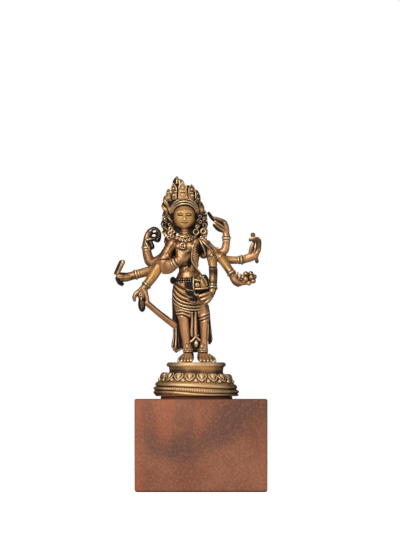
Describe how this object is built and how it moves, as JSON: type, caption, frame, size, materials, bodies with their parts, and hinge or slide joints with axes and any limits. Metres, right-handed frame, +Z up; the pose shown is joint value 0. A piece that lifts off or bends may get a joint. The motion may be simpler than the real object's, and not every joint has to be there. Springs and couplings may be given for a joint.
{
  "type": "bronze figure",
  "caption": "Small cast bronze standing deity with many arms, tall leaf crown and pleated skirt, on an oval lotus pedestal and a hardwood block; stands on its underside as a display piece.",
  "frame": {"origin": "middle of the wooden block's underside", "axes": "+Z up, the figure faces -Y, the figure's own right hand side is at -X"},
  "size_m": [0.0927, 0.06, 0.1909],
  "materials": {
    "figure_bronze": "cast copper alloy, worn bright on the raised parts, dark brown patina in the hollows",
    "pedestal_bronze": "cast copper alloy, yellower than the figure, brown patina in the grooves",
    "hardwood": "reddish-brown hardwood, fine straight pores, satin wax"
  },
  "bodies": {
    "root": {"figure": "figure_bronze", "lotus_pedestal": "pedestal_bronze", "wood_block": "hardwood"}
  },
  "joints": []
}
